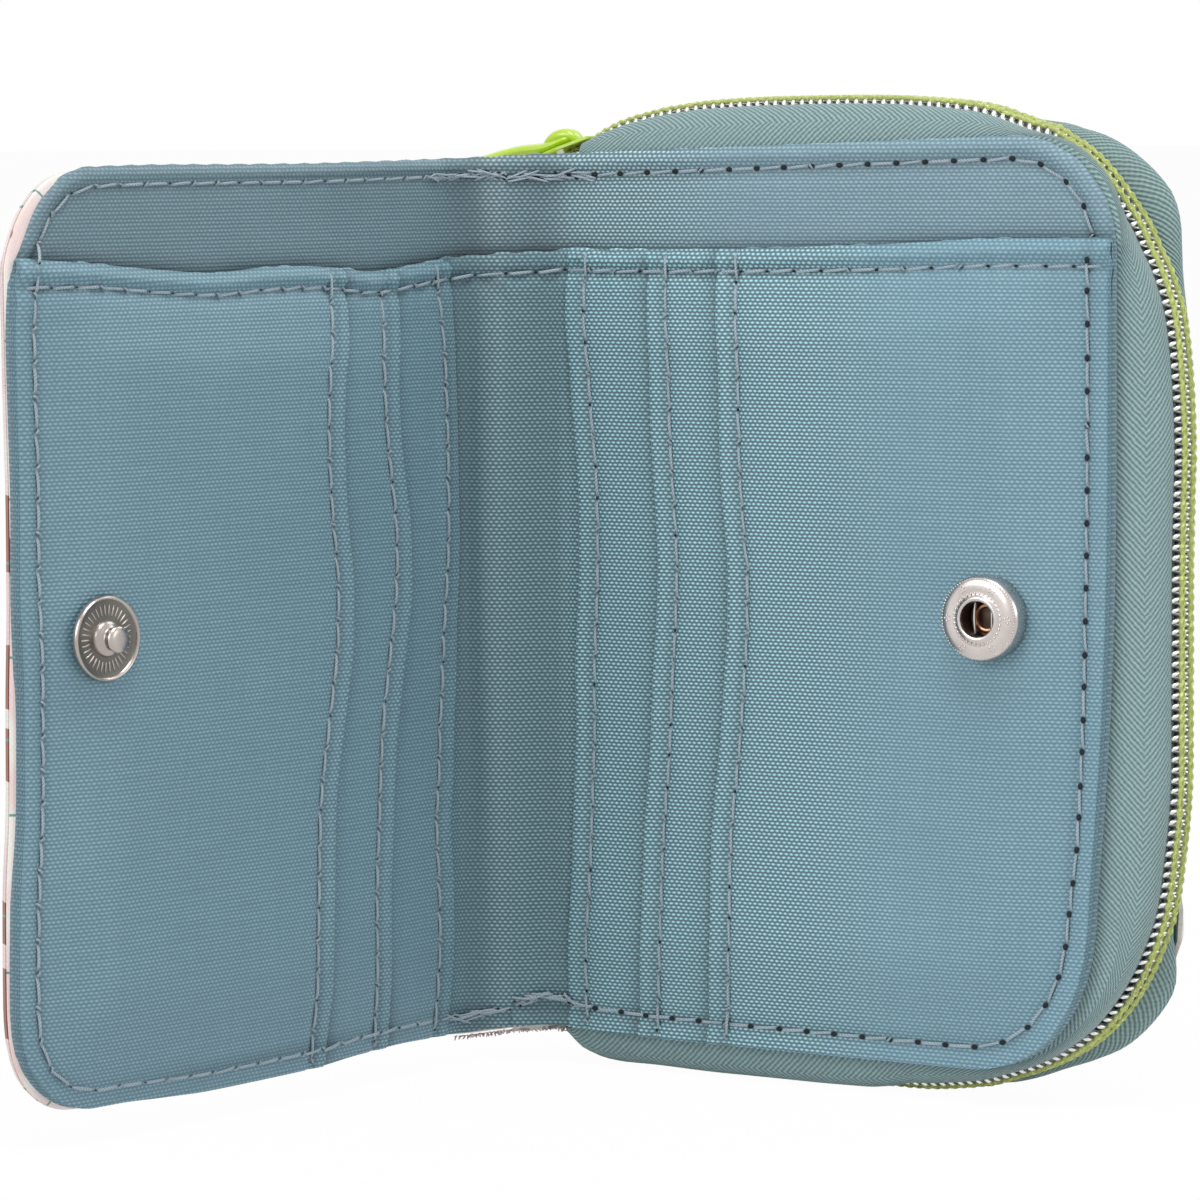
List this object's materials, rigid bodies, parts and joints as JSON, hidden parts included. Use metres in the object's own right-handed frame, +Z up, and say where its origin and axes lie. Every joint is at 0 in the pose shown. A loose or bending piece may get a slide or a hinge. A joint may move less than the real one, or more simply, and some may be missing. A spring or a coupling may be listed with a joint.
{
  "type": "zip-round bifold wallet",
  "caption": "Compact fabric wallet, open on its edge: a zip-round coin case and a snap flap with card slots on both halves, joined by a narrow spine.",
  "frame": {"origin": "middle of the wallet's bounding box at the floor", "axes": "+X from the fold outwards along the coin case, +Y from the card slots to the coin case's back cover, +Z up"},
  "size_m": [0.102, 0.0916, 0.1137],
  "materials": {
    "lining": "woven polyester with a soft sheen",
    "pocket": "woven polyester with a soft sheen",
    "coin_lining": "plain woven lining",
    "zip_tape": "matt herringbone tape",
    "zip_coil": "metallised nylon coil",
    "cover": "printed coated cotton, satin",
    "stiffener": "raw",
    "lacquer": "gloss lacquer on die-cast zinc",
    "nickel": "polished nickel plate",
    "copper": "bare copper-coloured metal"
  },
  "bodies": {
    "coin_case": {"front_lining": "lining", "front_board": "stiffener", "coin_lining_front": "coin_lining", "bill_wall_right": "pocket", "card_slot_right_1": "pocket", "card_slot_right_2": "pocket", "card_slot_right_3": "pocket", "zip_tape_front": "zip_tape", "zip_coil_front": "zip_coil", "snap_socket": "nickel", "snap_spring_inner": "nickel", "snap_spring_outer": "nickel", "snap_eyelet": "copper", "snap_socket_backing": "nickel"},
    "coin_back": {"back_cover": "cover", "back_board": "stiffener", "coin_lining_back": "coin_lining", "zip_tape_back": "zip_tape", "zip_coil_back": "zip_coil"},
    "spine": {"spine_lining": "lining", "spine_cover": "cover", "bill_wall_spine": "pocket"},
    "flap": {"flap_lining": "lining", "flap_board": "stiffener", "flap_cover": "cover", "bill_wall_left": "pocket", "card_slot_left_1": "pocket", "card_slot_left_2": "pocket", "card_slot_left_3": "pocket", "snap_stud": "nickel", "snap_stud_backing": "nickel"},
    "zip_slider": {"slider_body": "lacquer", "slider_bridge": "lacquer"},
    "zip_puller": {"puller": "lacquer"}
  },
  "joints": [
    {"name": "spine_fold", "type": "hinge", "parent": "coin_case", "child": "spine", "pos_m": [-0.02673, 0.03431, 0], "axis": [0, 0, 1], "range_deg": [-32, 37.8]},
    {"name": "flap_fold", "type": "hinge", "parent": "spine", "child": "flap", "pos_m": [-0.03818, 0.02716, 0], "axis": [0, 0, 1], "range_deg": [-51, 60.2]},
    {"name": "coin_open", "type": "hinge", "parent": "coin_case", "child": "coin_back", "pos_m": [-0.02673, 0.03721, 0], "axis": [0, 0, 1], "range_deg": [0, 60]},
    {"name": "zip_travel", "type": "hinge", "parent": "coin_case", "child": "zip_slider", "pos_m": [0.00927, 0.04004, 0.0007], "axis": [0, 1, 0], "range_deg": [0, 30]},
    {"name": "puller_swing", "type": "hinge", "parent": "zip_slider", "child": "zip_puller", "pos_m": [-0.02945, 0.04004, 0.10883], "axis": [0, 1, 0], "range_deg": [0, 166]}
  ],
  "couplings": [
    {"joint": "zip_travel", "follows": "coin_open", "ratio": 0.5}
  ]
}
